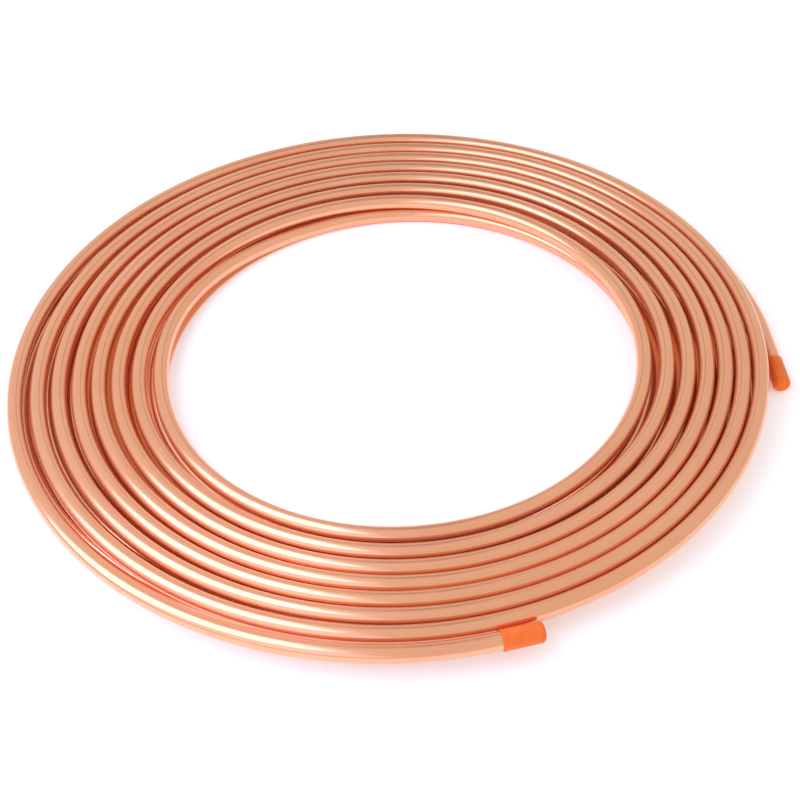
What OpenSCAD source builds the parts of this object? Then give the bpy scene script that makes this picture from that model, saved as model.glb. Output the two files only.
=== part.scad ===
// Pancake coil of soft copper refrigeration tube, with a plastic cap pushed on each end.
// Frame: +X right, +Y away from the front, +Z up; origin at the middle of the bore on the floor.

/* [Tube] */
// Outside diameter of the tube, 3/8 in
tube_d = 9.525; // [6:0.025:12]
// Wall thickness of the tube
tube_wall = 0.813; // [0.5:0.001:1.6]

/* [Top layer] */
// Reach from the middle to the outermost top turn where it crosses the left side
left_reach = 234; // [200:0.5:300]
// Reach from the middle to the outermost top turn where it crosses the right side
right_reach = 216.8; // [190:0.4:290]
// Air gap between neighbouring turns of the top layer on the left side
left_gap = 2.775; // [0.9:0.025:6]
// Air gap between neighbouring turns of the top layer on the right side
right_gap = 1.875; // [0.9:0.025:6]
// Full turns in the top layer, counted from one crossing of the left side to the last
top_turns = 7; // [3:1:9]
// Air gap between the cap on the front end and the turn beside it
front_gap = 1.035; // [0.5:0.005:10]
// Angle of the tube's front end, counted round from the right-hand side
front_end_angle = 287; // [240:1:330]

/* [Lower layer] */
// Air gap between the drop turn and the turn beside it in each layer, half way down
drop_gap = 0.385; // [0.2:0.005:5]
// Full turns in the lower layer, before its last half turn across the front and the last bend
low_turns = 5; // [1:1:8]
// Extra room on the left side between the drop turn and the lower layer's inmost turn
left_lead = 0.4; // [0:0.1:20]
// How far inside the outermost top turn the lower layer's outermost turn crosses the left side
left_tuck = 14.8; // [0:0.2:30]
// How far inside the outermost top turn the lower layer's outermost turn crosses the right side
right_tuck = 6; // [0:0.2:30]
// Air gap between the cap on the side end and the outermost top turn, which lies higher
side_gap = 2.1; // [0.3:0.05:20]
// Straight length at the side end
side_straight = 42.5; // [25:0.5:80]
// Air gap between the top layer and the highest part of the tube in the lower one
layer_gap = 0.1; // [0.1:0.05:2]

/* [End caps] */
// Wall thickness of an end cap
cap_wall = 0.54; // [0.3:0.02:2]
// Overall length of an end cap
cap_length = 22; // [10:0.5:30]
// Thickness of the closed end of a cap
cap_end_wall = 1.2; // [0.6:0.1:3]
// Radius of the rounded rim round the closed end of a cap
cap_round = 2.5; // [0.4:0.1:4]
// Clearance on diameter between a cap and the tube, which is slightly bent at the front end
cap_clearance = 0.5; // [0.25:0.05:1.5]

/* [Hidden] */
$fn = 64;

tube_bore = tube_d - 2 * tube_wall;
cap_d = tube_d + cap_clearance + 2 * cap_wall;
cap_rim = min(cap_round, cap_d / 2 - 1, cap_length / 2);
grip_length = cap_length - cap_end_wall;

// How much thicker the wall of a sloping bend is, inside and out together
slope_ease = 0.02;

// The side end lies on its cap, so the last bend lifts it by the wall of the cap
low_z = (tube_d + slope_ease) / 2;
side_z = cap_d / 2;
top_z = side_z + tube_d + slope_ease + layer_gap;

// A length to the nearest 0.002 mm, so that half turns of different reach meet exactly
function even(length) = round(length * 500) / 500;

// Reach of the top layer where it crosses the left and the right side for the k-th time
function left_at(k) = even(left_reach - k * (tube_d + left_gap));
function right_at(k) = even(right_reach - k * (tube_d + right_gap));

// The drop turn passes half way down beside the inmost top turn, which is as far above it
drop_apart = sqrt(pow(tube_d + drop_gap, 2) - pow((top_z - low_z) / 2, 2));
drop_reach = even(left_at(top_turns - 1) + right_at(top_turns - 1) - left_at(top_turns)
                  - 2 * drop_apart);

// Reach of the lower layer on the left and the right side, in even steps from its inmost turn.
// Its first half turn across the back clears the drop turn as the inmost top turn does.
right_step = (right_reach - right_tuck - drop_reach) / low_turns;
left_inmost = left_at(top_turns) + 2 * drop_apart - right_step + left_lead;
left_step = (left_reach - left_tuck - left_inmost) / low_turns;
function low_left_at(k) = even(left_inmost + k * left_step);
function low_right_at(k) = even(drop_reach + k * right_step);

// The first bend passes in front of the next turn with room for its cap
first_bend_radius = even((right_at(0) + left_at(1)) / 2 + (tube_d + cap_d) / 2 + front_gap);

// The side end lies beside the outermost top turn and below it
side_apart = sqrt(pow((tube_d + cap_d) / 2 + side_gap, 2) - pow(top_z - side_z, 2));
side_reach = even(right_reach + side_apart);

copper = [0.83, 0.55, 0.42];
orange = [0.95, 0.45, 0.12];

// Section of the tube wall; a sloping bend is thicker by a hair inside and out, so that it
// meets the level turns in one clean step
module wall(ease = 0) {
    difference() {
        circle(d = tube_d + ease);
        circle(d = tube_bore - ease);
    }
}

// One half turn, across the back when side is 1 and across the front when side is -1.
// It leaves the left (side 1) or the right (side -1) at reach a and height za,
// and comes to the other side at reach b and height zb.
module half_turn(side, a, b, za, zb) {
    level = za == zb;
    span = level ? a + b : sqrt(pow(a + b, 2) + pow(zb - za, 2));
    translate([side * (b - a) / 2, 0, (za + zb) / 2])
        rotate([0, side * asin((za - zb) / span), 0])
            rotate([0, 0, side > 0 ? 0 : 180])
                rotate_extrude(angle = 180)
                    translate([span / 2, 0])
                        wall(level ? 0 : slope_ease);
}

// First bend, from the left side forward to the free front end
module first_bend() {
    translate([first_bend_radius - left_reach, 0, top_z])
        rotate([0, 0, 180])
            rotate_extrude(angle = front_end_angle - 180)
                translate([first_bend_radius, 0])
                    wall();
}

// Top layer, wound inward turn by turn: across the back, then across the front
module top_layer() {
    for (k = [0 : top_turns - 1]) {
        half_turn(1, left_at(k), right_at(k), top_z, top_z);
        half_turn(-1, right_at(k), left_at(k + 1), top_z, top_z);
    }
}

// Inmost half turn, which drops across the back from the top layer to the lower one
module drop_turn() {
    half_turn(1, left_at(top_turns), drop_reach, top_z, low_z);
}

// Lower layer, wound outward from the right side: across the front, then across the back
module lower_layer() {
    for (k = [0 : low_turns]) {
        half_turn(-1, low_right_at(k), low_left_at(k), low_z, low_z);
        if (k < low_turns)
            half_turn(1, low_left_at(k), low_right_at(k + 1), low_z, low_z);
    }
}

// Last bend across the back, springing outward and rising a little, then the straight side end
module last_bend() {
    half_turn(1, low_left_at(low_turns), side_reach, low_z, side_z);
    translate([side_reach, 0, side_z])
        rotate([90, 0, 0])
            linear_extrude(side_straight)
                wall();
}

module copper_tube() {
    color(copper) {
        first_bend();
        top_layer();
        drop_turn();
        lower_layer();
        last_bend();
    }
}

// A cup with a rounded closed end, turned about its own axis; its mouth is at z = 0
module cap() {
    rotate_extrude()
        difference() {
            union() {
                square([cap_d / 2, cap_length - cap_rim]);
                square([cap_d / 2 - cap_rim, cap_length]);
                translate([cap_d / 2 - cap_rim, cap_length - cap_rim])
                    intersection() {
                        circle(r = cap_rim);
                        square(cap_rim);
                    }
            }
            translate([-1, -1])
                square([(tube_d + cap_clearance) / 2 + 1, grip_length + 1]);
        }
}

// Cap on the bent front end: it lies along the middle of the bend that it grips
module front_end_cap() {
    grip = (grip_length - cap_clearance) / first_bend_radius * 180 / PI;
    color(orange)
        translate([first_bend_radius - left_reach, 0, top_z])
            rotate([0, 0, front_end_angle - grip / 2])
                translate([first_bend_radius * (1 + cos(grip / 2)) / 2, 0, 0])
                    rotate([-90, 0, 0])
                        translate([0, 0, -grip_length / 2])
                            cap();
}

// Cap pushed home on the straight side end
module side_end_cap() {
    color(orange)
        translate([side_reach, grip_length - side_straight, side_z])
            rotate([90, 0, 0])
                cap();
}

copper_tube();
front_end_cap();
side_end_cap();
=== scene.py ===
# A flat coil of soft copper tube, as it is sold to refrigeration fitters: one length of tube
# wound in two layers round an open middle, with a plastic cap pushed on each end.
import math

import bpy
import numpy as np
from mathutils import Euler, Matrix


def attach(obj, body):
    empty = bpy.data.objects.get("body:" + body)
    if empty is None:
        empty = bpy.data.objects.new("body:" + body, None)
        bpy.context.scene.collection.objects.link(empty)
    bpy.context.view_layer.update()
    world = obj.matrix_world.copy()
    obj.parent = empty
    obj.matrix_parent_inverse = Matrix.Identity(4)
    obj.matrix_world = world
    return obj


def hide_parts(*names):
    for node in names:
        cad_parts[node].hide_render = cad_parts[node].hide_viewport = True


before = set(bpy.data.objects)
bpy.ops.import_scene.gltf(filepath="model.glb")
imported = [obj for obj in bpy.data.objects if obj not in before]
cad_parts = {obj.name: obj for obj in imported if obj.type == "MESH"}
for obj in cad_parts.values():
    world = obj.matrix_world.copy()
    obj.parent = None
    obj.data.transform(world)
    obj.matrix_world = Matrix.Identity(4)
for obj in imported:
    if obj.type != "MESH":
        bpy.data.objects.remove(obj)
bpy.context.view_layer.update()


# ---------------------------------------------------------------------------
# The copper tube. Soft 3/8 in tube, drawn and annealed, wound cold on a drum.
# The top layer winds inward from the front end, its inmost turn drops across
# the back, and the lower layer winds outward to the side end.
# ---------------------------------------------------------------------------
TUBE_D = 0.009525
TUBE_WALL = 0.000813
LOW_Z = 0.00477
TOP_Z = 0.0148
CAP_D = 0.0111
SIDE_CAP_D = 0.0106
CAP_LENGTH = 0.022
CAP_DEPTH = 0.0208
COIL_SHIFT = -0.0033
FRONT_ANGLE = math.radians(-73.0)
FRONT_MOUTH = 0.0165
CHANGE_START, CHANGE_END = 7.15, 7.35
DROP_START, DROP_END = 7.30, 7.49
LOW_START = 7.5
SIDE_RISE_START = 13.589
SIDE_BEND_END = 13.789
SIDE_REACH = 23.79
SIDE_STRAIGHT = 0.0522
RING_STEP = 0.0056
RING_SIDES = 32
END_RINGS = 4


def ease(x, start, end):
    """Smooth step: 0 before start, 1 after end, and 3 f^2 - 2 f^3 between them."""
    f = np.clip((x - start) / (end - start), 0.0, 1.0)
    return f * f * (3.0 - 2.0 * f)


def turn_angle(turns):
    """Direction from the middle after this many turns: clockwise from the front end."""
    return FRONT_ANGLE - 2.0 * math.pi * turns


def top_reach(turns):
    """Reach of the top layer in tube diameters.

    A cubic in the turns shrinks it; cosine and sine terms slide the outer turns to the
    left and back, and the inner ones forward; a small double-angle term makes it oval.
    """
    a = turn_angle(turns)
    u = turns / 7.4
    return (
        24.23 - 9.71 * u + 2.49 * u**2 - 2.18 * u**3
        + (-0.73 + 1.42 * u - 1.07 * u**2) * np.cos(a)
        + (0.72 - 0.59 * u - 0.56 * u**2) * np.sin(a)
        + (0.22 - 0.12 * u) * np.cos(2 * a)
    )


def low_reach(turns):
    """Reach of the lower layer in tube diameters.

    It steps out by an almost even amount each turn. Terms that grow from soon after its
    first half turn slide it to the left and back, and double-angle ones make it oval. In
    its last half turn it swings to the reach at which the side end leaves the coil.
    """
    a = turn_angle(turns)
    past = np.maximum(turns - LOW_START, 0.0)
    late = np.maximum(past - 0.603, 0.0)
    reach = (
        15.5 + 1.295 * past - 0.041 * (1.0 - np.exp(-past / 0.424))
        + late * (-0.179 * np.cos(a) + 0.093 * np.sin(a))
        + late * (0.165 * np.cos(2 * a) - 0.043 * np.sin(2 * a))
    )
    swing = ease(past, 5.67, 6.145)
    return (1.0 - swing) * reach + swing * SIDE_REACH


def route(turns):
    """Middle line of the tube, in metres, at these numbers of turns from the front end.

    The reach passes from the top layer's to the lower layer's, and then the height eases
    down. At the side end the height rises until the cap rests on the floor. Small waves in
    the reach, and in the height of the top layer, stand for uneven winding.
    """
    change = ease(turns, CHANGE_START, CHANGE_END)
    reach = (1.0 - change) * top_reach(turns) + change * low_reach(turns)
    reach = reach + 0.008 * np.sin(19.3 * turns) + 0.005 * np.sin(47.0 * turns + 1.0)
    drop = ease(turns, DROP_START, DROP_END)
    rise = ease(turns, SIDE_RISE_START, SIDE_BEND_END) * (SIDE_CAP_D / 2 - LOW_Z)
    z = TOP_Z + (LOW_Z - TOP_Z) * drop + rise
    z = z + 0.00008 * np.sin(11.0 * turns + 0.4) * (1.0 - drop)
    a = turn_angle(turns)
    r = reach * TUBE_D
    return np.stack([r * np.cos(a), r * np.sin(a) + COIL_SHIFT, z], axis=-1)


def even_points(points, step):
    """Points spaced evenly along a line of points, and how far along it each one is."""
    pieces = np.linalg.norm(np.diff(points, axis=0), axis=1)
    run = np.concatenate([[0.0], np.cumsum(pieces)])
    marks = np.linspace(0.0, run[-1], int(round(run[-1] / step)) + 1)
    return np.stack([np.interp(marks, run, points[:, k]) for k in range(3)], axis=-1), marks


def unit(v):
    """Vectors of length one along v."""
    return v / np.linalg.norm(v, axis=-1, keepdims=True)


bend_line = route(np.linspace(FRONT_MOUTH, SIDE_BEND_END, 30000))
front_way = unit(bend_line[0] - bend_line[1])
front_way[2] = 0.0
side_way = np.array([0.0, -1.0, 0.0])
front_mouth = bend_line[0]
side_start = bend_line[-1]
side_tip = side_start + side_way * SIDE_STRAIGHT
side_mouth = side_tip - side_way * CAP_DEPTH
straight = np.linspace(0.0, 1.0, 60)[:, None]
tube_line, tube_run = even_points(
    np.concatenate([
        front_mouth + front_way * CAP_DEPTH * (1.0 - straight[:-1]),
        bend_line,
        side_start + side_way * SIDE_STRAIGHT * straight[1:],
    ]),
    RING_STEP,
)


def new_piece(name, points, quads, uvs=None, lids=()):
    """A smooth-shaded object from arrays of points and four-cornered faces, with flat lids."""
    mesh = bpy.data.meshes.new(name)
    mesh.from_pydata(points.tolist(), [], quads.tolist() + [list(lid) for lid in lids])
    if uvs is not None:
        layer = mesh.uv_layers.new(name="along")
        corners = np.zeros((len(mesh.loops), 2))
        corners[: len(uvs)] = uvs
        layer.data.foreach_set("uv", corners.ravel())
    mesh.polygons.foreach_set("use_smooth", np.ones(len(mesh.polygons), dtype=bool))
    mesh.update()
    piece = bpy.data.objects.new(name, mesh)
    bpy.context.scene.collection.objects.link(piece)
    return piece


def ring_faces(rows, sides):
    """Four-cornered faces between each ring of this many points and the next one."""
    i, j = np.meshgrid(np.arange(rows - 1), np.arange(sides), indexing="ij")
    k = (j + 1) % sides
    corners = [i * sides + j, (i + 1) * sides + j, (i + 1) * sides + k, i * sides + k]
    return np.stack(corners, -1).reshape(-1, 4)


def folded_tube(line, run, picks, radii, sides):
    """Rings of points square to the line, taken in the order of picks, so the ends fold in.

    A point is line + radius (cos v across + sin v upward). Its place in the UV layer is its
    distance along the tube and round it, in metres.
    """
    along = unit(np.gradient(line, axis=0))[picks]
    across = unit(np.cross(along, [0.0, 0.0, 1.0]))
    upward = np.cross(across, along)
    v = np.linspace(0.0, 2.0 * math.pi, sides, endpoint=False)
    ring = (
        np.cos(v)[None, :, None] * across[:, None, :]
        + np.sin(v)[None, :, None] * upward[:, None, :]
    )
    points = (line[picks][:, None, :] + radii[:, None, None] * ring).reshape(-1, 3)
    i, j = np.meshgrid(np.arange(len(picks) - 1), np.arange(sides), indexing="ij")
    far = run[picks]
    lengthwise = np.stack([far[i], far[i + 1], far[i + 1], far[i]], -1)
    round_it = np.stack([j, j, j + 1, j + 1], -1) * (math.pi * TUBE_D / sides)
    uvs = np.stack([lengthwise, round_it], -1).reshape(-1, 2)
    return points, ring_faces(len(picks), sides), uvs


# The wall turns in at each open end and runs a little way down the bore
last_ring = len(tube_line) - 1
ring_order = np.concatenate([
    np.arange(END_RINGS, -1, -1),
    np.arange(last_ring + 1),
    np.arange(last_ring, last_ring - END_RINGS - 1, -1),
])
ring_radii = np.full(len(ring_order), TUBE_D / 2)
ring_radii[: END_RINGS + 1] -= TUBE_WALL
ring_radii[-END_RINGS - 1:] -= TUBE_WALL
points, quads, uvs = folded_tube(tube_line, tube_run, ring_order, ring_radii, RING_SIDES)
last_point = len(points) - 1
tube = new_piece(
    "wound_tube", points, quads, uvs,
    lids=[range(RING_SIDES), range(last_point, last_point - RING_SIDES, -1)],
)


class Wire:
    """An output socket that can stand in a sum: each operator adds the Math node it names."""

    def __init__(self, finish, socket):
        self.finish, self.socket = finish, socket

    def math(self, operation, *others, clamp=False):
        values = dict(enumerate((self,) + others))
        return self.finish.node(
            "ShaderNodeMath", {"operation": operation, "use_clamp": clamp}, values
        )

    def __add__(self, other):
        return self.math("ADD", other)

    def __sub__(self, other):
        return self.math("SUBTRACT", other)

    def __mul__(self, other):
        return self.math("MULTIPLY", other)

    def __truediv__(self, other):
        return self.math("DIVIDE", other)

    def __rsub__(self, other):
        return self.finish.node("ShaderNodeMath", {"operation": "SUBTRACT"}, {0: other, 1: self})

    __radd__ = __add__
    __rmul__ = __mul__

    def between(self, low, high):
        """0 where this is low, 1 where it is high, and a straight ramp between, held at both."""
        return ((self - low) / (high - low)).math("ADD", 0.0, clamp=True)


class Finish:
    """A material made node by node; node() gives a Wire from one output of the new node."""

    def __init__(self, name):
        self.material = bpy.data.materials.new(name)
        self.material.use_nodes = True
        self.tree = self.material.node_tree
        self.tree.nodes.clear()

    def node(self, kind, settings=None, values=None, out=0):
        node = self.tree.nodes.new(kind)
        for key, value in (settings or {}).items():
            setattr(node, key, value)
        for key, value in (values or {}).items():
            if isinstance(value, Wire):
                self.tree.links.new(value.socket, node.inputs[key])
            else:
                node.inputs[key].default_value = value
        return Wire(self, node.outputs[out]) if node.outputs else None

    def noise(self, place, scale, detail):
        return self.node(
            "ShaderNodeTexNoise", {}, {"Vector": place, "Scale": scale, "Detail": detail}
        )

    def stretched(self, place, scale):
        return self.node("ShaderNodeMapping", {}, {"Vector": place, "Scale": scale})

    def tint(self, factor, first, second):
        return self.node(
            "ShaderNodeMix", {"data_type": "RGBA"}, {0: factor, 6: first, 7: second}, out=2
        )

    def surface(self, **values):
        values = {key.replace("_", " "): value for key, value in values.items()}
        shader = self.node("ShaderNodeBsdfPrincipled", {}, values)
        self.node("ShaderNodeOutputMaterial", {}, {"Surface": shader})
        return self.material


copper = Finish("soft_copper")
where = copper.node("ShaderNodeTexCoord", out=3)
along = copper.node("ShaderNodeUVMap", {"uv_map": "along"})
drawn = copper.noise(copper.stretched(along, (4.0, 1500.0, 1.0)), 1.0, 3.0)
streak = copper.noise(copper.stretched(along, (9.0, 500.0, 1.0)), 1.0, 2.0)
patch = copper.noise(where, 14.0, 3.0)
cloud = copper.noise(where, 60.0, 4.0)
speck = copper.noise(copper.stretched(along, (260.0, 420.0, 1.0)), 1.0, 2.0)
colour = copper.tint(patch.between(0.35, 0.65), (0.93, 0.45, 0.25, 1.0), (0.90, 0.41, 0.22, 1.0))
colour = copper.tint(streak.between(0.55, 0.8) * 0.35, colour, (0.93, 0.52, 0.40, 1.0))
colour = copper.tint(speck.between(0.72, 0.8) * 0.5, colour, (0.45, 0.16, 0.08, 1.0))
shine = 0.14 + drawn * 0.06 + cloud.between(0.5, 0.75) * 0.06
bump = copper.node(
    "ShaderNodeBump", {},
    {"Strength": 0.12, "Distance": 0.0002, "Height": drawn * 0.6 + cloud * 0.4},
)
tube.data.materials.append(
    copper.surface(
        Base_Color=colour, Metallic=0.82, Roughness=shine, Normal=bump,
        Coat_Weight=0.3, Coat_Roughness=0.12,
    )
)
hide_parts("copper_tube")
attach(tube, "root")


# ---------------------------------------------------------------------------
# The end caps. Two cups of soft orange vinyl, dip moulded, each pushed over an
# end of the tube to keep dirt out. The closed end is rounded and the mouth rim
# is square, a little thicker than the wall.
# ---------------------------------------------------------------------------
CAP_ROUND = 0.0026
CAP_SIDES = 48
CAP_FIT = 0.00003
RIM_LIP = 0.00006


def cap_profile(width):
    """Radius and distance from the mouth, along the cap's wall.

    It runs from the middle of the floor inside, down the bore, over the rim and along the
    outside to the middle of the closed end, which is a slightly domed disc with a
    quarter-round edge.
    """
    outer = width / 2
    side = outer - RIM_LIP
    bore = TUBE_D / 2 + CAP_FIT
    shoulder = CAP_LENGTH - CAP_ROUND
    inside = [(0.0, CAP_DEPTH), (bore * 0.5, CAP_DEPTH), (bore, CAP_DEPTH)]
    bore_wall = [(bore, z) for z in np.linspace(CAP_DEPTH * 0.98, 0.0004, 6)]
    rim = [
        (bore + 0.0001, 0.00012), (bore + 0.0003, 0.0), (outer - 0.0002, 0.0),
        (outer, 0.00018), (outer, 0.0016), (side, 0.0022),
    ]
    wall = [(side, z) for z in np.linspace(0.004, shoulder, 8)]
    corner = [
        (side - CAP_ROUND + CAP_ROUND * math.cos(a), shoulder + CAP_ROUND * math.sin(a))
        for a in np.linspace(0.0, math.pi / 2, 9)[1:]
    ]
    end = [(r, CAP_LENGTH + 0.0002 * (1 - (r / 0.003) ** 2)) for r in (0.002, 0.001, 0.0)]
    return np.array(inside + bore_wall + rim + wall + corner + end)


def turned_cap(name, mouth, way, width):
    """The profile turned about its axis: mouth + z way + r (cos v across + sin v upward)."""
    profile = cap_profile(width)
    across = unit(np.cross(way, [0.0, 0.0, 1.0]))
    upward = np.cross(across, way)
    v = np.linspace(0.0, 2.0 * math.pi, CAP_SIDES, endpoint=False)
    ring = np.cos(v)[:, None] * across + np.sin(v)[:, None] * upward
    body = profile[1:-1]
    points = mouth + body[:, 1, None, None] * way + body[:, 0, None, None] * ring[None]
    ends = mouth + profile[[0, -1], 1, None] * way
    points = np.concatenate([points.reshape(-1, 3), ends])
    quads = ring_faces(len(body), CAP_SIDES)
    floor_point, tip_point = len(points) - 2, len(points) - 1
    this = np.arange(CAP_SIDES)
    following = (this + 1) % CAP_SIDES
    last_row = (len(body) - 1) * CAP_SIDES
    fans = np.concatenate([
        np.stack([np.full(CAP_SIDES, floor_point), this, following], -1),
        np.stack([np.full(CAP_SIDES, tip_point), last_row + following, last_row + this], -1),
    ])
    return new_piece(name, points, quads, lids=fans.tolist())


vinyl = Finish("orange_vinyl")
where = vinyl.node("ShaderNodeTexCoord", out=3)
mottle = vinyl.noise(where, 160.0, 4.0)
grain = vinyl.noise(where, 1400.0, 3.0)
dust = vinyl.noise(where, 420.0, 5.0)
colour = vinyl.tint(
    mottle.between(0.35, 0.65), (0.87, 0.155, 0.018, 1.0), (0.92, 0.195, 0.026, 1.0)
)
colour = vinyl.tint(dust.between(0.62, 0.8) * 0.2, colour, (0.95, 0.45, 0.22, 1.0))
bump = vinyl.node(
    "ShaderNodeBump", {},
    {"Strength": 0.25, "Distance": 0.0002, "Height": grain * 0.5 + mottle * 0.5},
)
vinyl_finish = vinyl.surface(
    Base_Color=colour, Roughness=0.42 + dust * 0.18, Normal=bump, Specular_IOR_Level=0.3
)
for name, mouth, way, width, node in (
    ("front_cap", front_mouth, front_way, CAP_D, "front_end_cap"),
    ("side_cap", side_mouth, side_way, SIDE_CAP_D, "side_end_cap"),
):
    cap = turned_cap(name, mouth, way, width)
    cap.data.materials.append(vinyl_finish)
    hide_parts(node)
    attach(cap, "root")


# ---------------------------------------------------------------------------
# The stage: a floor of pale paper with a painted orange glow under the coil,
# a strip of dark card overhead at the back, two soft panels overhead on the
# left and a pale room all round. The camera looks down at the coil from the front.
# ---------------------------------------------------------------------------
FLOOR_Z = -0.0002
STRIP_Z = 0.62


def flat_sheet(name, corners):
    """A stage sheet with these four corners."""
    mesh = bpy.data.meshes.new(name)
    mesh.from_pydata(corners, [], [(0, 1, 2, 3)])
    sheet = bpy.data.objects.new(name, mesh)
    bpy.context.scene.collection.objects.link(sheet)
    return sheet


floor = flat_sheet(
    "floor", [(-6, -6, FLOOR_Z), (6, -6, FLOOR_Z), (6, 6, FLOOR_Z), (-6, 6, FLOOR_Z)]
)
paper = Finish("pale_paper")
where = paper.node("ShaderNodeTexCoord", out=3)
fibre = paper.noise(where, 3.0, 4.0)
level = paper.node(
    "ShaderNodeVectorMath", {"operation": "MULTIPLY"}, {0: where, 1: (0.99, 1.0, 0.0)}
)


def reach_from(centre):
    """Distance from this point on the floor, shortened a little across for the oval coil."""
    return paper.node(
        "ShaderNodeVectorMath", {"operation": "DISTANCE"}, {0: level, 1: centre}, out=1
    )


# Between the coil's inside and outside the paper is painted copper orange and glows orange:
# painted light standing in for the light that the copper colours and throws down onto it
inner = reach_from((0.0013, COIL_SHIFT, 0.0))
outer = reach_from((-0.008, COIL_SHIFT + 0.006, 0.0))
painted_glow_ring = inner.between(0.1455, 0.147) * (1.0 - outer.between(0.210, 0.216))
white = paper.tint(fibre, (0.88, 0.88, 0.88, 1.0), (0.90, 0.90, 0.90, 1.0))
# Inside the ring the base colour and the glow are painted copper-coloured bounce light;
# elsewhere the paper is evenly white and evenly bright
floor.data.materials.append(
    paper.surface(
        Base_Color=paper.tint(painted_glow_ring, white, (0.80, 0.33, 0.16, 1.0)), Roughness=0.85,
        Emission_Color=paper.tint(painted_glow_ring, (1.0, 1.0, 1.0, 1.0), (0.90, 0.27, 0.08, 1.0)),
        Emission_Strength=0.28,
    )
)

# The copper mirrors this strip as a darker line along the middle of the tubes
strip = flat_sheet(
    "dark_strip",
    [(-0.05, 0.15, STRIP_Z), (-0.05, 1.3, STRIP_Z), (0.07, 1.3, STRIP_Z), (0.07, 0.15, STRIP_Z)],
)
strip.data.materials.append(
    Finish("dark_card").surface(Base_Color=(0.38, 0.38, 0.38, 1.0), Roughness=0.9)
)

world = bpy.data.worlds.new("room")
bpy.context.scene.world = world
world.use_nodes = True
background = world.node_tree.nodes["Background"]
background.inputs["Color"].default_value = (1.0, 1.0, 1.0, 1.0)
background.inputs["Strength"].default_value = 0.8


def soft_panel(name, place, size, brightness, colour):
    """A rectangular lamp of even brightness that looks straight down and isn't seen itself."""
    lamp = bpy.data.lights.new(name, "AREA")
    lamp.shape = "RECTANGLE"
    lamp.size, lamp.size_y = size
    lamp.color = colour
    lamp.energy = brightness * math.pi * size[0] * size[1]
    panel = bpy.data.objects.new(name, lamp)
    panel.location = place
    panel.visible_camera = False
    bpy.context.scene.collection.objects.link(panel)


soft_panel("bright_panel", (-0.82, -0.20, 0.57), (1.36, 0.60), 3.0, (0.62, 0.60, 0.98))
soft_panel("cool_panel", (-0.82, -1.35, 0.57), (1.36, 1.70), 0.9, (0.50, 0.55, 0.90))

camera_data = bpy.data.cameras.new("camera")
camera_data.sensor_width = 36.0
camera_data.lens = 53.1972
camera_data.clip_start = 0.01
camera = bpy.data.objects.new("camera", camera_data)
camera_angles = Euler([math.radians(angle) for angle in (44.8401, 1.9408, -1.6886)])
camera_place = Matrix.Translation((0.0, -0.53876 + COIL_SHIFT, 0.50788))
camera.matrix_world = camera_place @ camera_angles.to_matrix().to_4x4()
bpy.context.scene.collection.objects.link(camera)
bpy.context.scene.camera = camera
bpy.context.scene.view_settings.view_transform = "Standard"
